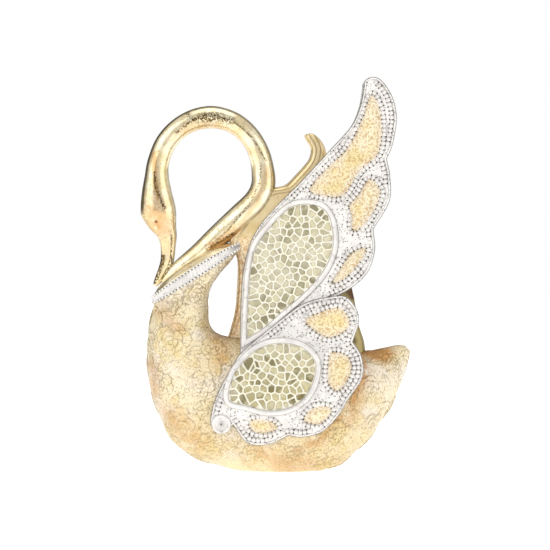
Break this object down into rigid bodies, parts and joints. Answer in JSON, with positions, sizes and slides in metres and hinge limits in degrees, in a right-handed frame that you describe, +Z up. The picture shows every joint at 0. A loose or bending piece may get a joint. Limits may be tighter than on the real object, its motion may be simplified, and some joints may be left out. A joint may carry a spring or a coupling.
{
  "type": "swan figurine",
  "caption": "Standing swan ornament with a looped neck, raised scalloped wings, framed crackled-glass mosaic panels and a lace relief body.",
  "frame": {"origin": "on the standing surface, under the middle of the swan's length and width", "axes": "-X is the way the swan faces, +Z is up, Y is across the wings, and the swan is symmetric about the plane Y = 0"},
  "size_m": [0.167, 0.082, 0.2426],
  "materials": {
    "champagne_resin": "cream and champagne paint with warm gold rubbed over a rose and lace relief, satin",
    "gold_leaf": "pale gold leaf paint, glossy, lightly worn",
    "silver_frame": "silver-white paint with small raised beads",
    "mosaic_glass": "grey-olive crackled glass chips",
    "grout": "cream grout, matte"
  },
  "bodies": {
    "root": {"swan_casting": "champagne_resin", "left_upper_mosaic": "mosaic_glass", "left_lower_mosaic": "mosaic_glass", "right_upper_mosaic": "mosaic_glass", "right_lower_mosaic": "mosaic_glass"}
  },
  "joints": []
}
